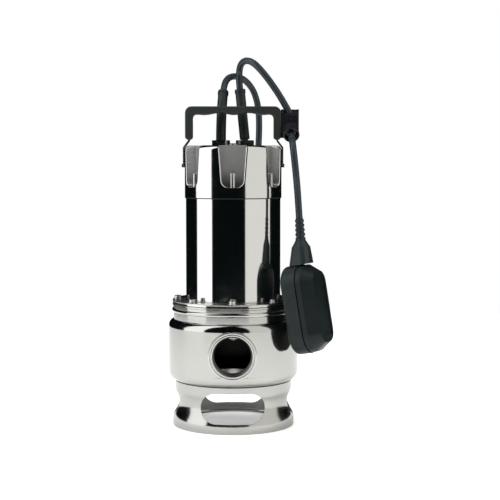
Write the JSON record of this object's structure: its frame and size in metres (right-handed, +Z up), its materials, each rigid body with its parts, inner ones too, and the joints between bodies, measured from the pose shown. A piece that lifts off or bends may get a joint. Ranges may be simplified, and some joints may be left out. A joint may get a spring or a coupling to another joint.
{
  "type": "submersible sump pump",
  "caption": "Stainless submersible drainage pump with a slotted strainer foot, front discharge port, carry handle, float switch and mains cord.",
  "frame": {"origin": "on the floor under the foot, on the shaft's axis", "axes": "+Z up along the shaft, -Y out of the discharge port, +X towards the float switch"},
  "size_m": [0.2043, 0.486, 0.4594],
  "materials": {
    "strainer_steel": "pressed stainless sheet, satin",
    "screw_steel": "bright stainless",
    "black_gasket": "dull black rubber",
    "suction_plate_steel": "stainless sheet, satin",
    "casing_steel": "deep-drawn stainless, semi-bright",
    "port_steel": "turned stainless",
    "backing_ring_steel": "stainless",
    "clamp_ring_steel": "stainless sheet, satin",
    "inner_plate_steel": "stainless sheet",
    "seal_ceramic": "white ceramic, lapped",
    "cast_bracket": "cast aluminium",
    "seal_rubber": "nitrile rubber",
    "bearing_steel": "ground bearing steel",
    "shaft_steel": "ground stainless",
    "lamination_steel": "stacked laminations",
    "cast_aluminium": "cast aluminium",
    "seal_carbon": "carbon",
    "impeller_steel": "cast stainless",
    "winding_copper": "varnished copper wire",
    "frame_steel": "painted",
    "dome_nut_steel": "stainless",
    "motor_tube_steel": "bright-rolled stainless tube",
    "cap_steel": "deep-drawn stainless, satin",
    "capacitor_shell": "moulded",
    "terminal_plastic": "moulded",
    "gland_metal": "nickel-plated brass, dull",
    "sleeve_rubber": "satin rubber",
    "cord_jacket": "satin rubber jacket",
    "handle_plastic": "fine-grained nylon",
    "strap_steel": "stainless strip",
    "clip_plastic": "satin nylon",
    "float_front_plastic": "satin polypropylene",
    "float_back_plastic": "satin polypropylene",
    "float_neck_rubber": "satin",
    "relief_rubber": "satin rubber",
    "ball_steel": "polished steel",
    "channel_plastic": "moulded",
    "lever_brass": "sprung strip",
    "tie_plastic": "cable tie",
    "plug_plastic": "moulded rubber-like plastic",
    "pin_brass": "nickel-plated brass"
  },
  "bodies": {
    "pump_body": {"strainer_base": "strainer_steel", "base_screws": "screw_steel", "base_gasket": "black_gasket", "suction_plate": "suction_plate_steel", "pump_casing": "casing_steel", "discharge_port": "port_steel", "backing_ring": "backing_ring_steel", "flange_gasket": "black_gasket", "clamp_ring": "clamp_ring_steel", "flange_screws": "screw_steel", "seal_plate": "inner_plate_steel", "seal_seat": "seal_ceramic", "lower_bracket": "cast_bracket", "lip_seal": "seal_rubber", "bearing_outer_rings": "bearing_steel", "stator_core": "lamination_steel", "stator_windings": "winding_copper", "motor_frame": "frame_steel", "upper_bracket": "cast_bracket", "tie_rods": "screw_steel", "dome_nuts": "dome_nut_steel", "motor_housing": "motor_tube_steel", "motor_cap": "cap_steel", "cap_seal_ring": "black_gasket", "fill_screw": "screw_steel", "capacitor": "capacitor_shell", "terminal_block": "terminal_plastic", "cable_glands": "gland_metal", "gland_locknuts": "gland_metal", "cord_sleeves": "sleeve_rubber", "inner_leads": "cord_jacket", "handle_grip": "handle_plastic", "handle_straps": "strap_steel", "cable_clip": "clip_plastic", "float_cord_upper": "cord_jacket", "float_cord_link": "cord_jacket", "power_cord": "cord_jacket", "power_cord_coil": "cord_jacket", "coil_ties": "tie_plastic", "power_cord_tail": "cord_jacket", "plug_body": "plug_plastic", "plug_pins": "pin_brass"},
    "rotor": {"shaft": "shaft_steel", "rotor_core": "lamination_steel", "rotor_end_rings": "cast_aluminium", "seal_rotating_ring": "seal_carbon", "impeller": "impeller_steel", "impeller_nut": "screw_steel", "bearing_inner_rings": "bearing_steel"},
    "lower_cage": {"lower_bearing_balls": "bearing_steel"},
    "upper_cage": {"upper_bearing_balls": "bearing_steel"},
    "float": {"float_shell_front": "float_front_plastic", "float_shell_back": "float_back_plastic", "float_neck": "float_neck_rubber", "float_strain_relief": "relief_rubber", "ball_channel": "channel_plastic", "float_switch": "terminal_plastic", "float_cord_lower": "cord_jacket"},
    "ball": {"float_ball": "ball_steel"},
    "lever": {"switch_lever": "lever_brass"}
  },
  "joints": [
    {"name": "rotor_spin", "type": "hinge", "parent": "pump_body", "child": "rotor", "pos_m": [0, 0, 0.16], "axis": [0, 0, 1], "continuous": true},
    {"name": "lower_cage_roll", "type": "hinge", "parent": "pump_body", "child": "lower_cage", "pos_m": [0, 0, 0.165], "axis": [0, 0, 1], "continuous": true},
    {"name": "upper_cage_roll", "type": "hinge", "parent": "pump_body", "child": "upper_cage", "pos_m": [0, 0, 0.271], "axis": [0, 0, 1], "continuous": true},
    {"name": "float_swing", "type": "hinge", "parent": "pump_body", "child": "float", "pos_m": [0.0724, -0.02582, 0.35733], "axis": [-0.8, -0.6, 0], "range_deg": [0, 110]},
    {"name": "float_ball_roll", "type": "slide", "parent": "float", "child": "ball", "axis": [-0.1549, 0.075, 0.9851], "range_m": [0, 0.024]},
    {"name": "lever_tip", "type": "hinge", "parent": "float", "child": "lever", "pos_m": [0.0865, -0.04737, 0.1743], "axis": [-0.4234, -0.9059, 0.0024], "range_deg": [0, 6.1]}
  ],
  "couplings": [
    {"joint": "lower_cage_roll", "follows": "rotor_spin", "ratio": 0.3816},
    {"joint": "upper_cage_roll", "follows": "rotor_spin", "ratio": 0.3648},
    {"joint": "lever_tip", "follows": "float_ball_roll", "rad_per_m": 4.36}
  ]
}
